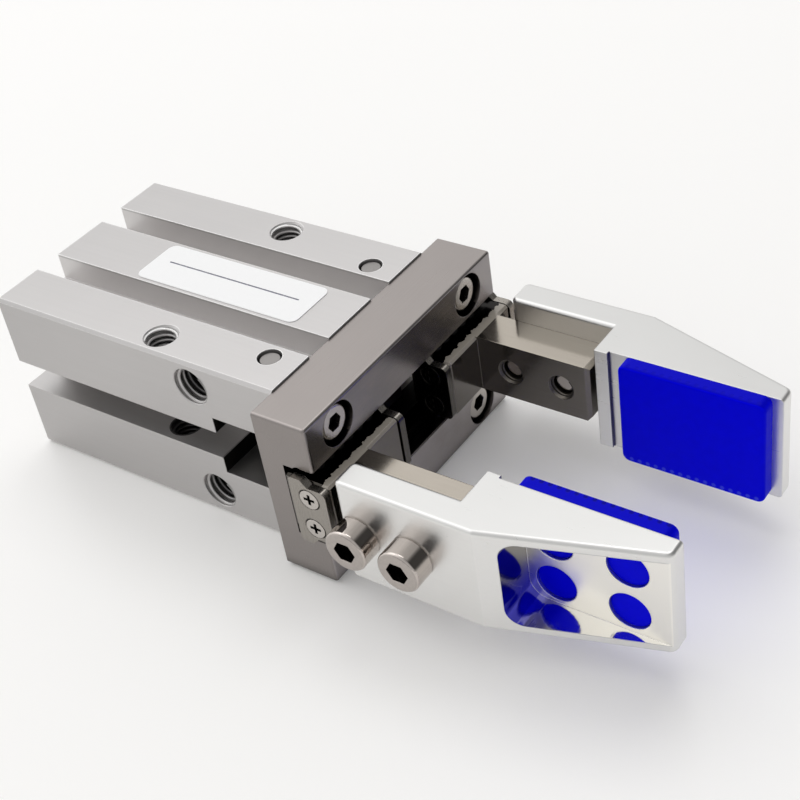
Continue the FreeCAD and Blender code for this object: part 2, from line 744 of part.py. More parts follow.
def make_jaw():
    """The left jaw: a tail on the arm, a step, a seat for the pad and a tapered, pocketed back."""
    half = jaw_height / 2
    lip_y = jaw_seat_y - jaw_lip_proud
    tip_outer_y = jaw_seat_y + jaw_tip_thickness
    lip_end = jaw_step_x + jaw_lip_length
    outline = [
        (jaw_rear, arm_outer_y), (jaw_step_x, arm_outer_y), (jaw_step_x, lip_y), (lip_end, lip_y),
        (lip_end, jaw_seat_y), (jaw_tip_x, jaw_seat_y), (jaw_tip_x, tip_outer_y),
        (jaw_bend_x, jaw_outer_y), (jaw_rear, jaw_outer_y),
    ]
    jaw = plate_z(outline, half)
    tail_corners = [outline[0], outline[-1]]
    jaw = jaw.makeFillet(jaw_corner_radius, edges_near(jaw, V(0, 0, 1), tail_corners))
    jaw = jaw.makeFillet(jaw_tip_radius, edges_near(jaw, V(0, 0, 1), [outline[6]]))
    outer_rim = [e for e in rim_edges(jaw, half) if e.CenterOfMass.y > arm_outer_y - jaw_corner_radius
                 or e.CenterOfMass.x > jaw_tip_x - jaw_tip_radius]
    jaw = jaw.makeFillet(jaw_edge, outer_rim)
    rim = half - jaw_pocket_rim
    start = jaw_pad_x + jaw_pocket_from_pad
    pocket = block((start, jaw_tip_x + cut_over), (jaw_floor_y, jaw_outer_y + cut_over), (-rim, rim))
    pocket = pocket.makeFillet(jaw_pocket_radius, corners_at(pocket, start))
    cuts = [pocket]
    for x in jaw_hole_xs:
        cuts.append(bar_y(jaw_screw_radius + clearance_hole_gap, arm_outer_y - cut_over,
                          jaw_outer_y + cut_over, x))
    for x in plug_xs:
        for z in plug_zs:
            cuts.append(bar_y(plug_radius, jaw_seat_y - cut_over, jaw_floor_y + cut_over, x, z))
    return jaw.cut(cuts)


def make_jaw_screws():
    """The two screws of the left jaw, heads on its outer face."""
    screw = socket_screw(jaw_screw_radius, jaw_screw_head_radius, jaw_screw_head_height,
                         jaw_screw_flats, jaw_screw_length)
    return Part.makeCompound([placed(screw, V(x, jaw_outer_y, 0), V(0, 1, 0)) for x in jaw_hole_xs])


def make_pad():
    """The left pad: a soft plate with plugs moulded through the jaw's holes."""
    half = jaw_height / 2
    face_y = jaw_seat_y - pad_thickness
    pad = block((jaw_pad_x, pad_tip_x), (face_y, jaw_seat_y), (-half, half))
    pad = pad.makeFillet(pad_corner_radius, edges_along(pad, V(0, 1, 0)))
    front = [e for e in pad.Edges if e.BoundBox.YMax < face_y + 1e-6]
    pad = pad.makeFillet(pad_edge, front)
    plugs = [bar_y(plug_radius - plug_gap, jaw_seat_y - pad_thickness / 2, jaw_floor_y - plug_recess, x, z)
             for x in plug_xs for z in plug_zs]
    return pad.fuse(plugs).removeSplitter()


def make_balls():
    """The left finger's two rows of steel balls, against its inner end plate."""
    first = slider_inner_y + ball_radius + ball_gap
    room = slider_outer_y - finger_travel / 2 - first - ball_radius
    count = 1 + int(room / ball_pitch)
    centres = [V(ball_x, first + i * ball_pitch, top * ball_z) for i in range(count) for top in (1, -1)]
    return Part.makeCompound([Part.makeSphere(ball_radius, centre) for centre in centres])


pieces = {
    "body": make_body(),
    "rear_cap": make_rear_cap(),
    "rear_cap_seal": make_cap_seal(),
    "cap_retaining_ring": make_retaining_ring(),
    "piston": make_piston(),
    "piston_rod": make_piston_rod(),
    "piston_nut": make_piston_nut(),
    "rod_head": make_rod_head(),
    "guide_plate": make_guide(),
    "guide_screws": make_guide_screws(),
}
pieces.update(make_bumpers())
pieces.update(make_rod_guide())
pieces.update(make_piston_rings())

paired_pieces = {
    "lever": make_lever(),
    "lever_bush": make_lever_bush(),
    "lever_pin": make_lever_pin(),
    "finger": make_finger(),
    "end_plate": make_end_plate(slider_outer_y, end_plate_outer_y),
    "inner_end_plate": make_end_plate(slider_inner_y, end_plate_inner_y),
    "end_plate_screws": make_end_plate_screws(),
    "jaw": make_jaw(),
    "jaw_screws": make_jaw_screws(),
    "jaw_pad": make_pad(),
    "guide_balls": make_balls(),
}
for name, shape in paired_pieces.items():
    pieces[name + "_left"] = shape
    pieces[name + "_right"] = mirrored(shape)

os.makedirs("parts", exist_ok=True)
for name, shape in pieces.items():
    if not shape.isValid():
        raise ValueError(name + " is not a valid solid")
    shape.exportStep("parts/" + name + ".step")
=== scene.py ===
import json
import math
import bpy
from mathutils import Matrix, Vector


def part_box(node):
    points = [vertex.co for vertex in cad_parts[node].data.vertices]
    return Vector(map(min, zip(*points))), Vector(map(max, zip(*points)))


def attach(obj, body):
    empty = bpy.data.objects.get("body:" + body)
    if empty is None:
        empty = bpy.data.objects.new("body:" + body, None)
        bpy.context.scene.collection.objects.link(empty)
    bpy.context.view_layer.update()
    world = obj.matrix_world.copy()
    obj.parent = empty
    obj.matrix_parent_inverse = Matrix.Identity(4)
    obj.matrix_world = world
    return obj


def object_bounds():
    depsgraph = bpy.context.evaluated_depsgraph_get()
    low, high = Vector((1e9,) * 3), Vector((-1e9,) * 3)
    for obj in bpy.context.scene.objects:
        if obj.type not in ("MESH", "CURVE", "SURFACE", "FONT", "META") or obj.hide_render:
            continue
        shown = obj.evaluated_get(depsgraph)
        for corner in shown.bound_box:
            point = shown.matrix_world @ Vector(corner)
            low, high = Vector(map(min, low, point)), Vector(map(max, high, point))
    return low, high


bl_info = {
    "name": "Parallel gripper looks",
    "version": (1, 0, 0),
    "blender": (4, 5, 0),
    "location": "View3D > Sidebar > Gripper",
    "description": "Finishes, screw threads, label and stage for an air-powered parallel gripper",
    "category": "Object",
}

import bmesh
import bpy
from bpy.props import FloatProperty, FloatVectorProperty, IntProperty, PointerProperty
from mathutils import Matrix, Vector

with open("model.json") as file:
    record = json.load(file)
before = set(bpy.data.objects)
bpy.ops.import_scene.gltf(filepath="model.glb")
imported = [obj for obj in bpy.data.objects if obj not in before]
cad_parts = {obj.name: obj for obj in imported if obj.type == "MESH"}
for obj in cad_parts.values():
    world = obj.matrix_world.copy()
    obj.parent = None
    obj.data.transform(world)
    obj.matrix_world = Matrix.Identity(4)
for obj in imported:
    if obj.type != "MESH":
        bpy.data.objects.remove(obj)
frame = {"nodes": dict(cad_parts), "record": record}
cad_low, cad_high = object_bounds()

body_low, body_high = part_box("body")
pad_low, pad_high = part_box("jaw_pad_left")
screw_low, screw_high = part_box("jaw_screws_left")
guide_screw_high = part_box("guide_screws")[1]
guide_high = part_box("guide_plate")[1]
jaw_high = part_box("jaw_left")[1]

MILLIMETRE = 0.001
MICROMETRE = 0.001 * MILLIMETRE

# How far the finishes round the edges of small turned pieces
FINE_EDGE = 0.1 * MILLIMETRE

# Tapped holes of the body: the air ports in its right-hand side and the mounting holes through its outer ribs
port_x = body_high.x - 13.0 * MILLIMETRE
port_z = body_high.z - 3.6 * MILLIMETRE
mount_x = 25.6 * MILLIMETRE
mount_y = body_high.y - 3.0 * MILLIMETRE

# Jaw screws: the radius of their heads and where their axes lie along a finger
bolt_head_radius = screw_high.z
bolt_xs = (screw_low.x + bolt_head_radius, screw_high.x - bolt_head_radius)


def length(label, about, millimetres):
    """A size that a user may change, given here in millimetres."""
    return FloatProperty(name=label, description=about, default=millimetres * MILLIMETRE,
                         min=0.0, precision=5, unit="LENGTH", subtype="DISTANCE")


def factor(label, about, value):
    """A share from 0 to 1 that a user may change."""
    return FloatProperty(name=label, description=about, default=value, min=0.0, max=1.0, subtype="FACTOR")


def brightness(label, about, value):
    """A brightness that a user may change."""
    return FloatProperty(name=label, description=about, default=value, min=0.0)


def colour(label, about, value):
    """A colour that a user may change."""
    return FloatVectorProperty(name=label, description=about, default=value, size=3, min=0.0, max=1.0,
                               subtype="COLOR")


class LabelSettings(bpy.types.PropertyGroup):
    """The blank write-on label on the middle rib."""
    length: length("Length", "Along the gripper", 25.7)
    width: length("Width", "Across the middle rib", 7.5)
    front_gap: length("Front gap", "From the label's front end to the guide plate", 5.6)
    thickness: length("Thickness", "Of the film", 0.08)
    corner: length("Corner radius", "Of the label's corners", 1.1)
    rule_length: length("Rule length", "Of the printed line", 21.0)
    rule_width: length("Rule width", "Of the printed line", 0.22)
    film: colour("Film", "Colour of the label", (0.95, 0.95, 0.95))
    ink: colour("Ink", "Colour of the printed line", (0.10, 0.10, 0.16))


class ThreadSettings(bpy.types.PropertyGroup):
    """The screw threads inside the tapped holes."""
    fine_pitch: length("M3 pitch", "Of the finger holes", 0.5)
    mount_pitch: length("M4 pitch", "Of the mounting holes", 0.7)
    port_pitch: length("M5 pitch", "Of the air ports", 0.8)
    depth_share: factor("Depth", "Thread depth as a share of its pitch", 0.54)
    steps: IntProperty(name="Steps", description="Sections in one turn", default=40, min=12, max=96)


class FinishSettings(bpy.types.PropertyGroup):
    """Colours and roughness of the gripper's finishes."""
    anodised: colour("Anodised body", "Clear-anodised extrusion", (0.51, 0.496, 0.49))
    anodised_roughness: factor("Body roughness", "Of the anodised faces", 0.36)
    guide: colour("Guide steel", "Ground guide plate", (0.335, 0.306, 0.293))
    guide_roughness: factor("Guide roughness", "Of the guide plate", 0.3)
    # Also the colour of painted shade: on the guide plate's front, in its channel and in its recesses.
    stain_and_shade: colour("Guide stain", "Oil marks on the guide plate's front", (0.24, 0.225, 0.23))
    finger: colour("Finger steel", "Ground tops of the fingers", (0.405, 0.368, 0.318))
    plate: colour("Plate steel", "End plates of the sliders", (0.31, 0.288, 0.26))
    # Also, at a tenth, the colour of painted shade in the fingers' recesses and holes and on the band by the
    # guide plate.
    blackened_and_shade: colour("Blackened steel", "Sides of the fingers and other oiled faces", (0.15, 0.138, 0.127))
    finger_roughness: factor("Finger roughness", "Of the fingers", 0.15)
    jaw: colour("Jaw metal", "Bright machined jaws", (0.79, 0.785, 0.77))
    jaw_roughness: factor("Jaw roughness", "Of the jaws' outer faces", 0.3)
    pocket: colour("Pocket metal", "Pocket behind the pad", (0.93, 0.91, 0.86))
    pocket_roughness: factor("Pocket roughness", "Of the pocket's polished walls", 0.11)
    pad: colour("Pad", "Moulded blue pads", (0.0, 0.0, 0.85))
    pad_roughness: factor("Pad roughness", "Of the pads", 0.4)
    pin: colour("Pins", "Ends of the lever pins", (0.26, 0.248, 0.24))
    screw: colour("Screws", "Plated screws", (0.52, 0.487, 0.455))
    bolt: colour("Jaw screws", "Screws that hold the jaws", (0.56, 0.51, 0.475))
    screw_roughness: factor("Screw roughness", "Of the screws", 0.1)
    hardened: colour("Hardened steel", "Levers and the rod head", (0.2, 0.19, 0.18))
    bronze: colour("Bronze", "Sintered bushes", (0.5, 0.31, 0.13))
    rubber: colour("Rubber", "Seals", (0.02, 0.02, 0.02))
    bumper: colour("Bumpers", "Cushions at the ends of the bore", (0.5, 0.36, 0.16))


class StageSettings(bpy.types.PropertyGroup):
    """The floor, the light and the camera."""
    floor: colour("Floor", "Colour of the table", (0.85, 0.842, 0.83))
    glow: colour("Glow", "Colour of the light from under the table", (1.0, 0.99, 0.97))
    glow_strength: factor("Glow strength", "How bright the lit table is by itself", 0.14)
    floor_size: length("Floor size", "Side of the table", 6000.0)
    lamp_size: length("Lamp size", "Side of the soft lamp", 300.0)
    lamp_distance: length("Lamp distance", "From the gripper", 700.0)
    lamp_radiance: brightness("Lamp radiance", "Of the lamp's face", 2.0)
    room: brightness("Room", "Of the room all round", 0.76)
    window: brightness("Window", "Added high behind the body's rear face", 1.5)
    side_wall: brightness("Side wall", "Added low behind the body's rear face", 0.6)
    back_wall: brightness("Back wall", "Added at the back on the left", 0.5)
    dark_corner: factor("Dark corner", "How much darker the room is at the back on the right", 0.7)
    lens: FloatProperty(name="Lens", description="Focal length in millimetres", default=68.204, min=1.0)
    roll: FloatProperty(name="Roll", description="How far the camera is tipped",
                        default=math.radians(-9.997), subtype="ANGLE", unit="ROTATION")
    place: FloatVectorProperty(name="Camera", description="Where the camera stands", subtype="TRANSLATION",
                               unit="LENGTH", default=(0.14371, -0.108187, 0.113194))
    aim: FloatVectorProperty(name="Aim", description="What the camera looks at", subtype="TRANSLATION",
                             unit="LENGTH", default=(0.049194, 0.001216, 0.0))


class Wire:
    """A node's socket in Python expressions: each expression adds its Math node."""

    def __init__(self, tree, socket):
        self.tree = tree
        self.socket = socket

    def math(self, operation, *terms):
        """A Math node on the terms, in order."""
        return self.tree.node("ShaderNodeMath", {"operation": operation}, dict(enumerate(terms)))["Value"]

    def __add__(self, other):
        return self.math("ADD", self, other)

    def __radd__(self, other):
        return self.math("ADD", other, self)

    def __sub__(self, other):
        return self.math("SUBTRACT", self, other)

    def __rsub__(self, other):
        return self.math("SUBTRACT", other, self)

    def __mul__(self, other):
        return self.math("MULTIPLY", self, other)

    def __rmul__(self, other):
        return self.math("MULTIPLY", other, self)

    def __gt__(self, other):
        return self.math("GREATER_THAN", self, other)

    def __lt__(self, other):
        return self.math("LESS_THAN", self, other)

    def __abs__(self):
        return self.math("ABSOLUTE", self)


class Tree:
    """The node tree of a material or of the world."""

    def __init__(self, owner):
        owner.use_nodes = True
        self.nodes = owner.node_tree.nodes
        self.links = owner.node_tree.links
        self.nodes.clear()

    def node(self, kind, settings=None, sockets=None):
        """Adds a node, sets it up, fills or links its sockets and returns its outputs by name."""
        made = self.nodes.new(kind)
        for name, value in (settings or {}).items():
            setattr(made, name, value)
        for key, value in (sockets or {}).items():
            socket = made.inputs[key] if isinstance(key, int) else self.find(made.inputs, key)
            if isinstance(value, Wire):
                self.links.new(value.socket, socket)
            else:
                socket.default_value = value
        return {socket.identifier: Wire(self, socket) for socket in made.outputs}

    @staticmethod
    def find(sockets, key):
        """The socket of that identifier."""
        return next(socket for socket in sockets if socket.identifier == key)

    def place(self, stretch=(1.0, 1.0, 1.0)):
        """The point on the piece in metres, stretched for streaked patterns."""
        point = self.node("ShaderNodeTexCoord")["Object"]
        return self.node("ShaderNodeVectorMath", {"operation": "MULTIPLY"},
                         {"Vector": point, "Vector_001": stretch})["Vector"]

    def parts(self, vector):
        """The X, Y and Z of a vector."""
        made = self.node("ShaderNodeSeparateXYZ", None, {"Vector": vector})
        return made["X"], made["Y"], made["Z"]

    def facing(self):
        """The X, Y and Z of the piece's own surface normal."""
        return self.parts(self.node("ShaderNodeTexCoord")["Normal"])

    def noise(self, scale, detail=2.0, stretch=(1.0, 1.0, 1.0), roughness=0.5):
        """Soft noise from 0 to 1, with scale in cycles per metre."""
        sockets = {"Vector": self.place(stretch), "Scale": scale, "Detail": detail, "Roughness": roughness}
        return self.node("ShaderNodeTexNoise", None, sockets)["Fac"]

    def blend(self, share, first, second):
        """One colour into another by a share."""
        sockets = {"Factor_Float": share, "A_Color": first, "B_Color": second}
        return self.node("ShaderNodeMix", {"data_type": "RGBA"}, sockets)["Result_Color"]

    def step(self, value, low, high, start=0.0, end=1.0, kind="SMOOTHSTEP"):
        """A rise from start to end as the value goes from low to high, smooth or of another kind."""
        settings = {"interpolation_type": kind}
        sockets = {"Value": value, "From Min": low, "From Max": high, "To Min": start, "To Max": end}
        return self.node("ShaderNodeMapRange", settings, sockets)["Result"]

    def open_share(self, reach, low, high):
        """How open the surface lies within a reach in metres: 0 deep in a recess, 1 on an outer face."""
        gap = self.node("ShaderNodeAmbientOcclusion", {"samples": 6}, {"Distance": reach})["AO"]
        return self.step(gap, low, high)

    def edge_share(self, radius):
        """How near the surface lies to a sharp edge: 1 on the edge, 0 a radius in metres away."""
        rounded = self.node("ShaderNodeBevel", {"samples": 6}, {"Radius": radius})["Normal"]
        flat = self.node("ShaderNodeNewGeometry")["True Normal"]
        agree = self.node("ShaderNodeVectorMath", {"operation": "DOT_PRODUCT"},
                          {"Vector": rounded, "Vector_001": flat})["Value"]
        return self.step(agree, 0.8, 0.99, 1.0, 0.0)

    def surface(self, sockets):
        """The finished surface from the main shader's sockets."""
        shader = self.node("ShaderNodeBsdfPrincipled", None, sockets)["BSDF"]
        self.node("ShaderNodeOutputMaterial", None, {"Surface": shader})

    def relief(self, height, depth, strength=1.0, edge=None):
        """A bump of that depth in metres, on edges rounded by the edge radius."""
        sockets = {"Height": height, "Distance": depth, "Strength": strength}
        if edge:
            sockets["Normal"] = self.node("ShaderNodeBevel", {"samples": 6}, {"Radius": edge})["Normal"]
        return self.node("ShaderNodeBump", None, sockets)["Normal"]


def rgba(value, level=1.0):
    """A colour for a socket, made lighter or darker."""
    return (value[0] * level, value[1] * level, value[2] * level, 1.0)


def new_finish(name):
    """An empty material and its tree."""
    material = bpy.data.materials.new(name)
    return material, Tree(material)


def paint(slot, material, start=""):
    """Gives the finish to the CAD nodes of a record slot whose names have that start."""
    rows = [row for row in frame["record"]["subparts"] if row["material_slot"] == slot]
    nodes = [row["node"] for row in rows if row["node"].startswith(start)]
    if not nodes:
        raise RuntimeError("no node has the slot " + slot)
    for node in nodes:
        frame["nodes"][node].material_slots[0].material = material


def recess_share(tree):
    """Full colour but for painted shade in deep recesses."""
    return tree.open_share(2 * MILLIMETRE, 0.06, 0.45)


def rim_share(tree):
    """Full colour but for painted shade in narrow rings and recesses."""
    return tree.open_share(0.6 * MILLIMETRE, 0.4, 0.85)


def between_fingers(tree):
    """Whether the point lies between the fingers."""
    return abs(tree.parts(tree.place())[1]) < 8 * MILLIMETRE


def middle_share(tree):
    """Full colour but for painted shade: in recesses, black on the faces of the plates between the fingers,
    and darker on their front ends.
    """
    facing_x, facing_y, _ = tree.facing()
    inner = between_fingers(tree)
    # Painted shade: the plates' faces between the fingers made black, their front ends darker.
    darkened = inner * (abs(facing_y) > 0.6)
    front_shade = inner * (facing_x > 0.8)
    return tree.open_share(MILLIMETRE, 0.3, 0.8) * (1 - darkened) * (1 - front_shade * 0.7)


def outer_share(tree):
    """Full colour but for painted shade in recesses and on the screws between the fingers, which it makes
    black.
    """
    return tree.open_share(MILLIMETRE, 0.3, 0.8) * (1 - between_fingers(tree))


def bolt_distance(x, z):
    """The square of the distance from the nearer jaw screw's axis."""
    rear, fore = [abs(x - bolt_x) for bolt_x in bolt_xs]
    beside = x.math("MINIMUM", rear, fore)
    return beside * beside + z * z


def jaw_socket_share(tree):
    """Full colour but for painted shade that makes the jaw screws' sockets black and a ring at their tips
    dark, a painted dark reflection in a band along their heads, and end faces a quarter darker.
    """
    x, y, z = tree.parts(tree.place())
    facing_x, facing_y, facing_z = tree.facing()
    from_axis = bolt_distance(x, z)
    socket_radius = 0.6 * bolt_head_radius
    head_height = 2.9 * MILLIMETRE
    depth = screw_high.y - abs(y)
    # Painted shade: the sockets black below their mouths.
    black = tree.step(depth, 0.1 * MILLIMETRE, 1.2 * MILLIMETRE) * (depth < head_height)
    socket = (from_axis < socket_radius ** 2) * black
    # Painted shade: a dark ring round the edge of each screw's tip.
    tip_radius = 1.0 * MILLIMETRE
    tip_ring = (from_axis > tip_radius ** 2) * (abs(y) < screw_low.y + 0.2 * MILLIMETRE)
    # Painted reflection: a dark band along the side of each head, picked out by its facing.
    dark_reflection_way = (0.74, 0.67)
    streak = tree.step(facing_x * dark_reflection_way[0] + facing_z * dark_reflection_way[1], 0.94, 0.99)
    # End faces a quarter darker.
    face = abs(facing_y) > 0.8
    return (1 - socket) * (1 - streak * 0.9) * (1 - face * 0.25) * (1 - tip_ring * 0.85)


def guide_socket_share(tree):
    """Full colour but for painted shade that makes the guide screws' sockets black."""
    x, y, z = tree.parts(tree.place())
    head_radius = 2.25 * MILLIMETRE
    across = abs(y) - (guide_screw_high.y - head_radius)
    above = abs(z) - (guide_screw_high.z - head_radius)
    near_axis = (across * across + above * above) < (0.6 * head_radius) ** 2
    return 1 - near_axis * tree.step(guide_screw_high.x - x, 0.1 * MILLIMETRE, 0.8 * MILLIMETRE)


def metal(name, tint, roughness, grain, edge, spread=0.1, lines=(1.0, 1.0, 1.0), unshaded_share=recess_share):
    """A worked metal: streaks along one way, a fine grain, rounded edges and painted shade where the given
    share falls.
    """
    material, tree = new_finish(name)
    streak = tree.noise(grain, 3.0, lines)
    cloud = tree.noise(grain / 30, 3.0)
    fine = tree.noise(grain * 4, 2.0)
    share = streak * 0.65 + cloud * 0.35
    unshaded_tint = tree.blend(share, rgba(tint, 1 - spread), rgba(tint, 1 + spread))
    # Painted shade: the tint falls to a twentieth where the share says the surface lies in shade.
    base = tree.blend(unshaded_share(tree), rgba(tint, 0.05), unshaded_tint)
    rough = roughness + (streak - 0.5) * (roughness * 0.5) + (fine - 0.5) * (roughness * 0.3)
    normal = tree.relief(streak * 0.7 + fine * 0.3, 4 * MICROMETRE, 0.35, edge)
    tree.surface({"Base Color": base, "Metallic": 1.0, "Roughness": rough, "Normal": normal})
    return material


def new_piece(name, mesh, body, material):
    """Puts a mesh in the scene as a piece that moves with a CAD body."""
    piece = bpy.data.objects.new(name, mesh)
    bpy.context.scene.collection.objects.link(piece)
    mesh.materials.append(material)
    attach(piece, body)


def rounded_sheet(name, size, corner, thickness, centre, steps=8):
    """A thin flat sheet with round corners, lying at the centre of its underside."""
    half_x = size[0] / 2 - corner
    half_y = size[1] / 2 - corner
    centres = ((half_x, half_y), (-half_x, half_y), (-half_x, -half_y), (half_x, -half_y))
    outline = []
    for quarter, (corner_x, corner_y) in enumerate(centres):
        for step in range(steps + 1):
            turn = math.pi / 2 * (quarter + step / steps)
            x = centre[0] + corner_x + corner * math.cos(turn)
            y = centre[1] + corner_y + corner * math.sin(turn)
            outline.append((x, y))
    shape = bmesh.new()
    lower = [shape.verts.new((x, y, centre[2])) for x, y in outline]
    upper = [shape.verts.new((x, y, centre[2] + thickness)) for x, y in outline]
    shape.faces.new(reversed(lower))
    shape.faces.new(upper)
    for i, first in enumerate(lower):
        after = (i + 1) % len(lower)
        shape.faces.new((first, lower[after], upper[after], upper[i]))
    mesh = bpy.data.meshes.new(name)
    shape.to_mesh(mesh)
    shape.free()
    return mesh


def add_thread(shape, mouth, inward, reach, radius, pitch, settings):
    """Adds one helical ridge to a mesh: from the mouth of a tapped hole inward along its wall."""
    inward = Vector(inward).normalized()
    across = inward.orthogonal().normalized()
    beside = inward.cross(across)
    depth = settings.depth_share * pitch
    sunk = 0.02 * MILLIMETRE
    count = int(settings.steps * reach / pitch)
    fade = settings.steps / 2
    sections = []
    for i in range(count + 1):
        turn = 2 * math.pi * i / settings.steps
        ray = across * math.cos(turn) + beside * math.sin(turn)
        crest = depth * min(1.0, i / fade, (count - i) / fade)
        along = Vector(mouth) + inward * (pitch * i / settings.steps)
        profile = ((sunk, -0.44), (-crest, -0.07), (-crest, 0.07), (sunk, 0.44))
        sections.append([shape.verts.new(along + ray * (radius + out) + inward * (pitch * shift))
                         for out, shift in profile])
    for first, after in zip(sections, sections[1:]):
        for j, corner in enumerate(first):
            k = (j + 1) % len(first)
            shape.faces.new((corner, first[k], after[k], after[j])).smooth = True


def thread_mesh(name, holes, settings):
    """The ridges of several tapped holes in one mesh."""
    shape = bmesh.new()
    for hole in holes:
        add_thread(shape, *hole, settings)
    bmesh.ops.recalc_face_normals(shape, faces=shape.faces)
    mesh = bpy.data.meshes.new(name)
    shape.to_mesh(mesh)
    shape.free()
    return mesh


def mount_hole_threads(settings):
    """The M4 holes: two through the ribs, in halves either side of the slot, and four in the rear face."""
    radius = 2.0 * MILLIMETRE
    mouth = 0.35 * MILLIMETRE
    slot = 2.1 * MILLIMETRE
    reach = body_high.z - mouth - slot
    pitch = settings.mount_pitch
    rear_y = body_high.y - 3.3 * MILLIMETRE
    rear_z = body_high.z - 4.8 * MILLIMETRE
    rear_reach = 7.4 * MILLIMETRE
    holes = []
    for hand in (1, -1):
        for top in (1, -1):
            place = (mount_x, hand * mount_y, top * (body_high.z - mouth))
            holes.append((place, (0, 0, -top), reach, radius, pitch))
            holes.append(((mouth, hand * rear_y, top * rear_z), (1, 0, 0), rear_reach, radius, pitch))
    return holes


def port_threads(settings):
    """The two M5 air ports in the right-hand side."""
    radius = 2.5 * MILLIMETRE
    mouth = 0.2 * MILLIMETRE
    reach = 4.7 * MILLIMETRE
    return [((port_x, body_low.y + mouth, top * port_z), (0, 1, 0), reach, radius, settings.port_pitch)
            for top in (1, -1)]


def finger_threads(settings, hand):
    """The open ends of the two M3 holes in one finger's arm, in front of the screws' tips."""
    radius = 1.5 * MILLIMETRE
    arm_face = 11.5 * MILLIMETRE
    mouth = 0.3 * MILLIMETRE
    reach = 0.5 * MILLIMETRE
    return [((bolt_x, hand * (arm_face + mouth), 0.0), (0, hand, 0), reach, radius, settings.fine_pitch)
            for bolt_x in bolt_xs]


def port_shade(tree, x, y, z):
    """How dark the depths of the two air ports are."""
    across = x - port_x
    above = abs(z) - port_z
    depth = y - body_low.y
    radius = 2.7 * MILLIMETRE
    inside = (across * across + above * above < radius ** 2) * (depth < 6 * MILLIMETRE)
    return inside * tree.step(depth, 0.5 * MILLIMETRE, 2.5 * MILLIMETRE)


def mount_shade(tree, x, y, z):
    """How dark the depths of the mounting holes are, about the side slots."""
    across = x - mount_x
    beside = abs(y) - mount_y
    radius = 2.2 * MILLIMETRE
    inside = across * across + beside * beside < radius ** 2
    return inside * tree.step(abs(z), 4 * MILLIMETRE, 7 * MILLIMETRE, 1.0, 0.0)


def body_share(tree, x, y, z):
    """Full colour but for painted shade in the body's deep recesses, its lever bay and the depths of its
    holes.
    """
    bay_x = body_high.x - 10.9 * MILLIMETRE
    bay_z = 4.4 * MILLIMETRE
    bay = (x > bay_x) * (abs(z) < bay_z) * (abs(y) < body_high.y - 0.1 * MILLIMETRE)
    # Painted shade: the lever bay darker and its far wall black.
    bay_wall = bay * (tree.facing()[0] > 0.7)
    open_faces = tree.open_share(4 * MILLIMETRE, 0.01, 0.12) * (1 - bay * 0.45) * (1 - bay_wall)
    return open_faces * (1 - port_shade(tree, x, y, z) * 0.85) * (1 - mount_shade(tree, x, y, z) * 0.85)


def add_body_finish(finish):
    """Clear-anodised extrusion: faint drawing lines along X, a fine etched grain, painted light that makes it
    lighter towards the front and brighter in the grooves, bright edges that are partly wear and partly a
    painted highlight, and painted shade in its recesses.
    """
    material, tree = new_finish("clear anodised extrusion")
    drawn = tree.noise(2600.0, 3.0, (0.012, 1.0, 1.0))
    cloud = tree.noise(70.0, 3.0)
    grain = tree.noise(9000.0, 2.0)
    x, y, z = tree.parts(tree.place())
    # Painted light: the body lighter towards its front end.
    front = tree.step(x, body_low.x, body_high.x, -0.15, 0.4, "LINEAR")
    share = drawn * 0.3 + cloud * 0.3 + grain * 0.1 + front
    unshaded_tint = tree.blend(share, rgba(finish.anodised, 0.88), rgba(finish.anodised, 1.12))
    # Painted light: the groove walls made brighter.
    groove_near_y = 4.2 * MILLIMETRE
    groove_far_y = 8.1 * MILLIMETRE
    groove_top_z = body_high.z - 0.3 * MILLIMETRE
    groove = (abs(y) > groove_near_y) * (abs(y) < groove_far_y) * (abs(z) < groove_top_z)
    groove_brightened = tree.blend(groove, unshaded_tint, rgba(finish.anodised, 1.3))
    # Top edges lightened towards near-white: partly wear, partly a painted highlight.
    edge_wear_and_highlight = tree.edge_share(0.3 * MILLIMETRE) * (abs(z) > body_high.z - 0.6 * MILLIMETRE)
    bright = tree.blend(edge_wear_and_highlight * 0.8, groove_brightened, (0.95, 0.95, 0.94, 1.0))
    base = tree.blend(body_share(tree, x, y, z), rgba(finish.anodised, 0.03), bright)
    rough = finish.anodised_roughness + (grain - 0.5) * 0.12 + (drawn - 0.5) * 0.06
    normal = tree.relief(grain * 0.6 + drawn * 0.4, 5 * MICROMETRE, 0.4, 0.12 * MILLIMETRE)
    tree.surface({"Base Color": base, "Metallic": 0.8, "Roughness": rough, "Normal": normal})
    return material


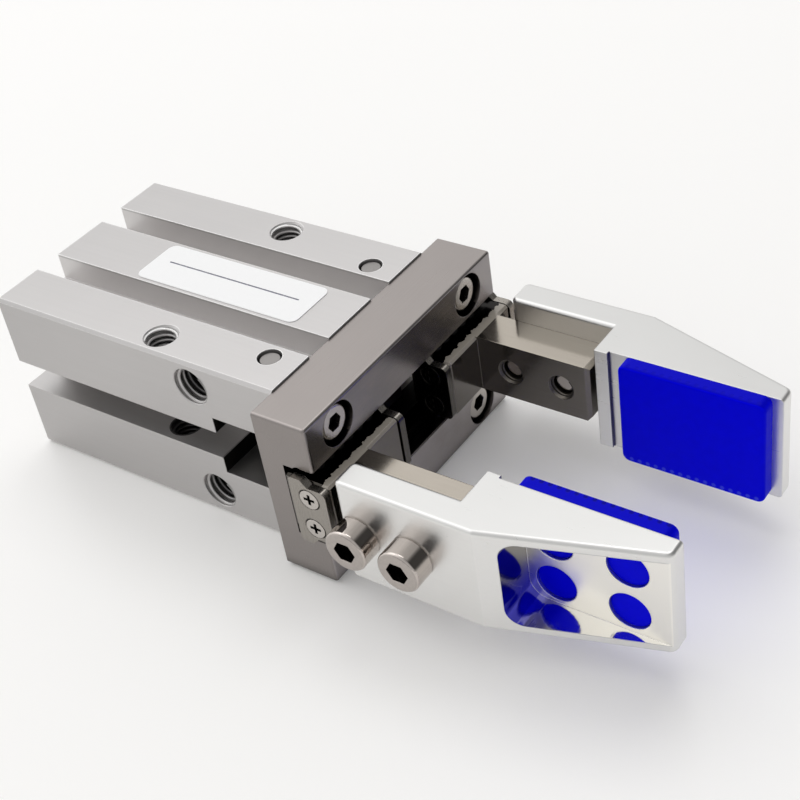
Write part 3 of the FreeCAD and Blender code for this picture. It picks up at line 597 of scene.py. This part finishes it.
def add_guide_finish(finish):
    """Ground steel: grinding lines along Y, a front darkened in blots by oil marks and painted shade, paler
    on its lower bar, and painted shade that makes the channel black and darkens recesses.
    """
    material, tree = new_finish("ground guide steel")
    ground = tree.noise(5200.0, 3.0, (1.0, 0.012, 1.0))
    cloud = tree.noise(160.0, 4.0)
    facing_x, facing_y, _ = tree.facing()
    # The front face darkened in blots: partly oil marks, partly painted shade.
    front = tree.step(facing_x, 0.5, 0.9)
    blot = tree.noise(260.0, 5.0, (1.0, 0.7, 1.0), 0.6)
    front_stain_and_shade = front * tree.step(blot, 0.3, 0.72, 0.35, 1.0)
    share = ground * 0.5 + cloud * 0.5
    side = abs(facing_y) > 0.7
    ends = tree.blend(side * 0.1, rgba(finish.guide), rgba(finish.stain_and_shade, 0.1))
    unshaded_tint = tree.blend(share * 0.2, ends, rgba(finish.guide, 0.2))
    x, y, z = tree.parts(tree.place())
    stain_and_shade = tree.blend(z < 0, rgba(finish.stain_and_shade), rgba(finish.stain_and_shade, 1.6))
    darkened = tree.blend(front_stain_and_shade, unshaded_tint, stain_and_shade)
    depth = guide_high.x - x
    end_inset = guide_high.y - abs(y)
    # Painted shade: the channel made black and recesses darker.
    channel_z = 6.3 * MILLIMETRE
    channel = (depth > 0.15 * MILLIMETRE) * (abs(z) < channel_z) * (end_inset > 0.1 * MILLIMETRE)
    shade_and_grease_free = tree.open_share(3 * MILLIMETRE, 0.35, 0.85) * (1 - channel)
    base = tree.blend(shade_and_grease_free, rgba(finish.stain_and_shade, 0.06), darkened)
    rough = finish.guide_roughness + (ground - 0.5) * 0.14 - front * 0.08
    normal = tree.relief(ground, 3 * MICROMETRE, 0.4, 0.14 * MILLIMETRE)
    tree.surface({"Base Color": base, "Metallic": 1.0, "Roughness": rough, "Normal": normal})
    return material


def add_finger_finish(finish):
    """Finger steel: tops ground bright, sides given a black finish, a band by the guide plate darkened by
    grease and painted shade, rougher tapped holes darkened by painted shade, and painted shade in recesses.
    """
    material, tree = new_finish("ground finger steel")
    ground = tree.noise(4600.0, 3.0, (0.03, 1.0, 1.0))
    cloud = tree.noise(150.0, 3.0)
    share = ground * 0.5 + cloud * 0.5
    bright = tree.blend(share, rgba(finish.finger, 0.88), rgba(finish.finger, 1.12))
    dark = tree.blend(share, rgba(finish.blackened_and_shade, 0.8), rgba(finish.blackened_and_shade, 1.2))
    level = tree.step(abs(tree.facing()[2]), 0.4, 0.8)
    unshaded_tint = tree.blend(level, dark, bright)
    ragged = tree.noise(1300.0, 2.0)
    x, _, z = tree.parts(tree.place())
    # Tapped holes made rougher and darkened by painted shade.
    hole_radius = 1.72 * MILLIMETRE
    hole = bolt_distance(x, z) < hole_radius ** 2
    # A ragged dark band on the tops by the guide plate: partly grease, partly painted shade from the plate
    # above.
    grease_and_shade_x = guide_high.x + 0.75 * MILLIMETRE + (ragged - 0.5) * MILLIMETRE
    slider_x = guide_high.x + 1.95 * MILLIMETRE
    grease_and_shade = level * (x < grease_and_shade_x)
    strip = level * (x > grease_and_shade_x) * (x < slider_x)
    # Painted shade in recesses, on the band by the guide plate and in the holes.
    shade_and_grease_free = tree.open_share(2 * MILLIMETRE, 0.06, 0.42) * (1 - grease_and_shade) * (1 - hole * 0.4)
    base = tree.blend(shade_and_grease_free, rgba(finish.blackened_and_shade, 0.1), unshaded_tint)
    rough = finish.finger_roughness + (ground - 0.5) * 0.08 + (cloud - 0.5) * 0.06 + hole * 0.3
    normal = tree.relief(ground, 3 * MICROMETRE, 0.35, 0.15 * MILLIMETRE)
    tree.surface({"Base Color": base, "Metallic": 1 - strip * 0.9, "Roughness": rough, "Normal": normal})
    return material


def add_jaw_finish(finish):
    """Bright machined aluminium: satin with tops darkened by painted shade, a painted shade line by the lip,
    and polished pocket walls with a painted blue reflection and a rear wall darkened by painted shade.
    """
    material, tree = new_finish("bright machined jaw")
    milled = tree.noise(4200.0, 2.0, (0.05, 1.0, 1.0))
    cloud = tree.noise(220.0, 3.0)
    flute = tree.noise(3500.0, 1.0, (1.0, 0.01, 1.0))
    x, y, z = tree.parts(tree.place())
    pocket_x = 76.3 * MILLIMETRE
    floor_y = 14.3 * MILLIMETRE
    pocket_z = 5.98 * MILLIMETRE
    tip_y = 14.35 * MILLIMETRE
    slope = 0.3087
    outer_y = tip_y + (jaw_high.x - x) * slope - 0.06 * MILLIMETRE
    pocket = (x > pocket_x) * (abs(y) > floor_y) * (abs(y) < outer_y) * (abs(z) < pocket_z)
    facing_x, facing_y, facing_z = tree.facing()
    wall = pocket * (abs(facing_y) < 0.5)
    # Painted shade on the pocket's rear wall, and a painted reflection of the blue pad low on its walls near
    # the rear.
    rear = wall * (facing_x > 0.5)
    at_rear = tree.step(x, pocket_x + 3.5 * MILLIMETRE, pocket_x + 5 * MILLIMETRE, 1.0, 0.0)
    painted_blue_reflection = wall * at_rear * tree.step(z, -4 * MILLIMETRE, 0, 0.75, 0.0)
    share = milled * 0.4 + cloud * 0.6
    milled_tint = tree.blend(share, rgba(finish.jaw, 0.95), rgba(finish.jaw, 1.05))
    # Painted shade: upward faces a fifth darker.
    level = tree.step(facing_z, 0.6, 0.95)
    outside = tree.blend(level, milled_tint, rgba(finish.jaw, 0.79))
    inside = tree.blend(rear * 0.75, rgba(finish.pocket), rgba(finish.pocket, 0.1))
    pocket_with_painted_light = tree.blend(painted_blue_reflection, inside, rgba(finish.pad, 0.8))
    # Painted shade: a dark navy line on the step by the lip.
    lip_x = jaw_high.x - 21.3 * MILLIMETRE
    seat_y = 12.05 * MILLIMETRE
    lip_shade_line = (x > lip_x - 0.03 * MILLIMETRE) * (x < lip_x + 0.15 * MILLIMETRE) * (abs(y) < seat_y)
    lip_shaded = tree.blend(lip_shade_line * 0.85, outside, rgba(finish.pad, 0.12))
    base = tree.blend(pocket, lip_shaded, pocket_with_painted_light)
    satin = finish.jaw_roughness + (milled - 0.5) * 0.08 + (cloud - 0.5) * 0.08
    rough = satin + wall * (finish.pocket_roughness - satin)
    normal = tree.relief(milled * 0.25 + flute * wall * 5.0, 2 * MICROMETRE, 1.0, 0.2 * MILLIMETRE)
    tree.surface({"Base Color": base, "Metallic": 1.0, "Roughness": rough, "Normal": normal})
    return material


def add_pad_finish(finish):
    """Deep blue urethane with a row of small dents along its long edges, painted shade in the upper dents and
    painted highlights in the lower ones, a painted highlight on its edges and a top darkened by painted
    shade.
    """
    material, tree = new_finish("moulded blue urethane")
    dent_pitch = 1.05 * MILLIMETRE
    top_inset = 0.45 * MILLIMETRE
    low_inset = 0.6 * MILLIMETRE
    x, y, z = tree.parts(tree.place())
    beside = x.math("PINGPONG", x, dent_pitch / 2)
    low = z < 0
    above = abs(z) - pad_high.z + low * low_inset
    inward = abs(y) - pad_low.y - (1 - low) * top_inset
    away = beside.math("SQRT", beside * beside + above * above + inward * inward)
    dent = tree.step(away, 0.15 * MILLIMETRE, 0.36 * MILLIMETRE, 1.0, 0.0)
    # Painted highlight along the edges.
    rim = tree.edge_share(0.15 * MILLIMETRE)
    level = tree.step(tree.facing()[2], 0.5, 0.9)
    skin = tree.noise(900.0, 3.0)
    unshaded_tint = tree.blend(skin, rgba(finish.pad, 0.92), rgba(finish.pad, 1.06))
    # Painted shade: upward faces a third darker.
    top = tree.blend(level, unshaded_tint, rgba(finish.pad, 0.65))
    # Painted shade in the upper dents, stronger on the near pad.
    deep = (y < 0) * 0.5 + 0.15
    top_dents_shaded = tree.blend(dent * (1 - low) * deep, top, rgba(finish.pad, 0.2))
    # Painted highlights: pale dots in the lower dents and a faint line on the edges.
    base = tree.blend(dent * low * 0.4 + rim * 0.06, top_dents_shaded, (0.12, 0.16, 0.9, 1.0))
    rough = finish.pad_roughness + (skin - 0.5) * 0.14
    normal = tree.relief(skin * 0.1 - dent * 0.5, 60 * MICROMETRE, 0.6, 0.25 * MILLIMETRE)
    tree.surface({"Base Color": base, "Roughness": rough, "Normal": normal, "Specular IOR Level": 0.04})
    return material


def add_rubber_finish(name, tint, roughness):
    """Moulded rubber with a fine matt skin."""
    material, tree = new_finish(name)
    skin = tree.noise(4000.0, 3.0)
    base = tree.blend(skin, rgba(tint, 0.8), rgba(tint, 1.2))
    rough = roughness + (skin - 0.5) * 0.2
    normal = tree.relief(skin, 6 * MICROMETRE, 0.4)
    tree.surface({"Base Color": base, "Roughness": rough, "Normal": normal})
    return material


class GRIPPER_OT_body(bpy.types.Operator):
    """Finish the extruded body, its rear cap and the threads of its holes"""
    bl_idname = "gripper.body"
    bl_label = "Body"

    def execute(self, context):
        finish = context.scene.gripper_finish
        threads = context.scene.gripper_threads
        skin = add_body_finish(finish)
        paint("anodised_body", skin)
        paint("turned_aluminium", metal("turned aluminium", (0.6, 0.6, 0.59), 0.25, 3000.0, FINE_EDGE))
        holes = mount_hole_threads(threads) + port_threads(threads)
        mesh = thread_mesh("body_threads", holes, threads)
        new_piece("body_threads", mesh, "housing", skin)
        return {"FINISHED"}


class GRIPPER_OT_guide(bpy.types.Operator):
    """Finish the guide plate and the balls"""
    bl_idname = "gripper.guide"
    bl_label = "Guide plate"

    def execute(self, context):
        finish = context.scene.gripper_finish
        paint("guide_steel", add_guide_finish(finish))
        paint("ball_steel", metal("polished ball steel", (0.7, 0.7, 0.7), 0.06, 2500.0, None, 0.04))
        return {"FINISHED"}


class GRIPPER_OT_fingers(bpy.types.Operator):
    """Finish the fingers and their end plates, and thread their holes"""
    bl_idname = "gripper.fingers"
    bl_label = "Fingers"

    def execute(self, context):
        finish = context.scene.gripper_finish
        threads = context.scene.gripper_threads
        steel = add_finger_finish(finish)
        paint("finger_steel", steel)
        plate = metal("rolled plate steel", finish.plate, 0.28, 4200.0, FINE_EDGE, 0.12,
                      (1, 1, 0.03), middle_share)
        paint("end_plate_steel", plate)
        for hand, side in ((1, "left"), (-1, "right")):
            name = "finger_threads_" + side
            mesh = thread_mesh(name, finger_threads(threads, hand), threads)
            new_piece(name, mesh, side + "_finger", steel)
        return {"FINISHED"}


class GRIPPER_OT_jaws(bpy.types.Operator):
    """Finish the two jaws"""
    bl_idname = "gripper.jaws"
    bl_label = "Jaws"

    def execute(self, context):
        paint("machined_jaw", add_jaw_finish(context.scene.gripper_finish))
        return {"FINISHED"}


class GRIPPER_OT_pads(bpy.types.Operator):
    """Finish the two blue pads"""
    bl_idname = "gripper.pads"
    bl_label = "Pads"

    def execute(self, context):
        paint("blue_urethane", add_pad_finish(context.scene.gripper_finish))
        return {"FINISHED"}


class GRIPPER_OT_screws(bpy.types.Operator):
    """Finish the screws, the nut and the lever pins"""
    bl_idname = "gripper.screws"
    bl_label = "Screws and pins"

    def execute(self, context):
        finish = context.scene.gripper_finish
        small = metal("plated screw steel", finish.screw, 0.25, 3000.0, FINE_EDGE, 0.08,
                      (1, 1, 1), outer_share)
        bolt = metal("bright screw steel", finish.bolt, finish.screw_roughness, 2600.0, FINE_EDGE, 0.2,
                     (1, 0.03, 1), jaw_socket_share)
        flush = metal("turned screw steel", finish.screw, 0.25, 2600.0, FINE_EDGE, 0.1,
                      (0.03, 1, 1), guide_socket_share)
        pin = metal("ground pin steel", finish.pin, 0.32, 3600.0, FINE_EDGE, 0.12, (1, 1, 1), rim_share)
        nut = metal("plated nut steel", finish.screw, 0.3, 3000.0, FINE_EDGE)
        paint("plated_screws", small)
        paint("plated_screws", nut, "piston_nut")
        paint("plated_screws", bolt, "jaw_screws")
        paint("plated_screws", flush, "guide_screws")
        paint("pin_steel", pin)
        return {"FINISHED"}


class GRIPPER_OT_works(bpy.types.Operator):
    """Finish the pieces inside: piston, rod, levers, bushes, seals and bumpers"""
    bl_idname = "gripper.works"
    bl_label = "Inner works"

    def execute(self, context):
        finish = context.scene.gripper_finish
        rod = metal("ground rod steel", (0.6, 0.6, 0.6), 0.15, 5000.0, FINE_EDGE, 0.06, (1, 0.03, 1))
        spring = metal("oiled spring steel", (0.14, 0.14, 0.15), 0.4, 3000.0, FINE_EDGE, 0.2)
        bronze = metal("sintered bronze", finish.bronze, 0.45, 5000.0, FINE_EDGE, 0.25)
        paint("hardened_steel", metal("hardened lever steel", finish.hardened, 0.35, 3000.0, FINE_EDGE, 0.15))
        paint("ground_rod_steel", rod)
        paint("spring_steel", spring)
        paint("bronze_bush", bronze)
        paint("seal_rubber", add_rubber_finish("nitrile seal", finish.rubber, 0.5))
        paint("bumper_urethane", add_rubber_finish("amber bumper", finish.bumper, 0.4))
        paint("magnet", add_rubber_finish("bonded magnet", (0.05, 0.045, 0.045), 0.6))
        return {"FINISHED"}


class GRIPPER_OT_label(bpy.types.Operator):
    """Stick the blank write-on label on the middle rib"""
    bl_idname = "gripper.label"
    bl_label = "Label"

    def execute(self, context):
        label = context.scene.gripper_label
        film, tree = new_finish("white label film")
        skin = tree.noise(1500.0, 3.0)
        base = tree.blend(skin, rgba(label.film, 0.97), rgba(label.film))
        normal = tree.relief(skin, 4 * MICROMETRE, 0.3)
        tree.surface({"Base Color": base, "Roughness": 0.35 + skin * 0.1, "Normal": normal})
        ink, tree = new_finish("printed rule")
        speck = tree.noise(6000.0, 3.0)
        base = tree.blend(tree.step(speck, 0.5, 0.75), rgba(label.ink), rgba(label.film, 0.5))
        tree.surface({"Base Color": base, "Roughness": 0.4 + speck * 0.1})
        middle = body_high.x - label.front_gap - label.length / 2
        top = body_high.z
        size = (label.length, label.width)
        sheet = rounded_sheet("label", size, label.corner, label.thickness, (middle, 0, top))
        new_piece("label", sheet, "housing", film)
        rule_y = 0.4 * MILLIMETRE
        rule_size = (label.rule_length, label.rule_width)
        ink_thickness = 0.01 * MILLIMETRE
        raised = top + label.thickness
        rule = rounded_sheet("label_rule", rule_size, label.rule_width / 2, ink_thickness,
                             (middle, rule_y, raised), 3)
        new_piece("label_rule", rule, "housing", ink)
        return {"FINISHED"}


class GRIPPER_OT_stage(bpy.types.Operator):
    """Set the camera, the table, the soft lamp and the room"""
    bl_idname = "gripper.stage"
    bl_label = "Stage"

    def execute(self, context):
        stage = context.scene.gripper_stage
        context.scene.view_settings.view_transform = "Standard"
        self.add_camera(context, stage)
        self.add_floor(context, stage)
        self.add_lamp(context, stage)
        self.add_room(context, stage)
        return {"FINISHED"}

    def add_camera(self, context, stage):
        """The camera at the photograph's place, aim, roll and lens."""
        camera = bpy.data.objects.new("camera", bpy.data.cameras.new("camera"))
        camera.data.lens = stage.lens
        camera.data.clip_start = 10 * MILLIMETRE
        aim = Vector(stage.aim) - Vector(stage.place)
        turn = aim.to_track_quat("-Z", "Y").to_matrix() @ Matrix.Rotation(stage.roll, 3, "Z")
        camera.matrix_world = Matrix.Translation(stage.place) @ turn.to_4x4()
        context.scene.collection.objects.link(camera)
        context.scene.camera = camera

    def add_floor(self, context, stage):
        """A pale, faintly glossy table just under the gripper, lit a little from below."""
        half = stage.floor_size / 2
        clearance = 0.02 * MILLIMETRE
        height = cad_low.z - clearance
        corners = [(x, y, height) for x, y in ((-half, -half), (half, -half), (half, half), (-half, half))]
        mesh = bpy.data.meshes.new("floor")
        mesh.from_pydata(corners, [], [(0, 1, 2, 3)])
        floor = bpy.data.objects.new("floor", mesh)
        material, tree = new_finish("pale table")
        cloud = tree.noise(6.0, 3.0)
        base = tree.blend(cloud, rgba(stage.floor, 0.985), rgba(stage.floor))
        matt = {"Base Color": base, "Roughness": 0.3 + cloud * 0.05, "Specular IOR Level": 0.3}
        lit = {**matt, "Emission Color": rgba(stage.glow), "Emission Strength": stage.glow_strength}
        ray = tree.node("ShaderNodeLightPath")
        seen = ray["Is Camera Ray"] + ray["Is Glossy Ray"] + ray["Is Transmission Ray"]
        plain = tree.node("ShaderNodeBsdfPrincipled", None, matt)["BSDF"]
        glowing = tree.node("ShaderNodeBsdfPrincipled", None, lit)["BSDF"]
        shown = tree.node("ShaderNodeMixShader", None, {0: seen, 1: plain, 2: glowing})["Shader"]
        tree.node("ShaderNodeOutputMaterial", None, {"Surface": shown})
        mesh.materials.append(material)
        context.scene.collection.objects.link(floor)

    def add_lamp(self, context, stage):
        """One soft lamp high at the back."""
        to_lamp = Vector((-0.07, 0.42, 0.9)).normalized()
        data = bpy.data.lights.new("soft lamp", "AREA")
        data.size = stage.lamp_size
        data.energy = stage.lamp_radiance * math.pi * stage.lamp_size ** 2
        lamp = bpy.data.objects.new("soft lamp", data)
        lamp.location = Vector(stage.aim) + to_lamp * stage.lamp_distance
        lamp.rotation_euler = to_lamp.to_track_quat("Z", "Y").to_euler()
        context.scene.collection.objects.link(lamp)

    def add_room(self, context, stage):
        """A plain room with three soft bright places and one dark corner."""
        world = bpy.data.worlds.new("pale room")
        context.scene.world = world
        tree = Tree(world)
        way = tree.node("ShaderNodeTexCoord")["Generated"]
        window = self.add_panel(tree, way, (-0.57, 0.0, 0.82), 8.0) * stage.window
        side_wall = self.add_panel(tree, way, (-0.95, -0.17, 0.26), 3.0) * stage.side_wall
        back_wall = self.add_panel(tree, way, (-0.58, 0.7, 0.42), 4.0) * stage.back_wall
        corner = self.add_panel(tree, way, (0.66, 0.56, 0.5), 3.0) * stage.dark_corner
        strength = stage.room * (1 - corner) + window + side_wall + back_wall
        shine = tree.node("ShaderNodeBackground", None, {"Strength": strength})["Background"]
        tree.node("ShaderNodeOutputWorld", None, {"Surface": shine})

    def add_panel(self, tree, way, to_panel, focus):
        """A soft place in the room, 1 at its middle and smaller the higher its focus."""
        side = tree.node("ShaderNodeVectorMath", {"operation": "DOT_PRODUCT"},
                         {"Vector": way, "Vector_001": Vector(to_panel).normalized()})["Value"]
        return side.math("POWER", side.math("MAXIMUM", side, 0.0), focus)


class GRIPPER_PT_panel(bpy.types.Panel):
    """The gripper's pieces and settings in the sidebar"""
    bl_idname = "GRIPPER_PT_panel"
    bl_label = "Gripper"
    bl_space_type = "VIEW_3D"
    bl_region_type = "UI"
    bl_category = "Gripper"

    def draw(self, context):
        for operator in operators:
            self.layout.operator(operator.bl_idname)
        for group in settings_groups:
            for name in settings_groups[group].__annotations__:
                self.layout.prop(getattr(context.scene, group), name)


settings_groups = {
    "gripper_label": LabelSettings,
    "gripper_threads": ThreadSettings,
    "gripper_finish": FinishSettings,
    "gripper_stage": StageSettings,
}
operators = (GRIPPER_OT_body, GRIPPER_OT_guide, GRIPPER_OT_fingers, GRIPPER_OT_jaws, GRIPPER_OT_pads,
             GRIPPER_OT_screws, GRIPPER_OT_works, GRIPPER_OT_label, GRIPPER_OT_stage)


def register():
    """Adds the settings, the operators and the panel to Blender."""
    for name, group in settings_groups.items():
        bpy.utils.register_class(group)
        setattr(bpy.types.Scene, name, PointerProperty(type=group))
    for cls in operators + (GRIPPER_PT_panel,):
        bpy.utils.register_class(cls)


def unregister():
    """Takes them out again."""
    for cls in (GRIPPER_PT_panel,) + operators:
        bpy.utils.unregister_class(cls)
    for name, group in settings_groups.items():
        delattr(bpy.types.Scene, name)
        bpy.utils.unregister_class(group)


def main():
    """Builds the whole scene."""
    register()
    bpy.ops.gripper.body()
    bpy.ops.gripper.guide()
    bpy.ops.gripper.fingers()
    bpy.ops.gripper.jaws()
    bpy.ops.gripper.pads()
    bpy.ops.gripper.screws()
    bpy.ops.gripper.works()
    bpy.ops.gripper.label()
    bpy.ops.gripper.stage()


if __name__ == "__main__":
    main()
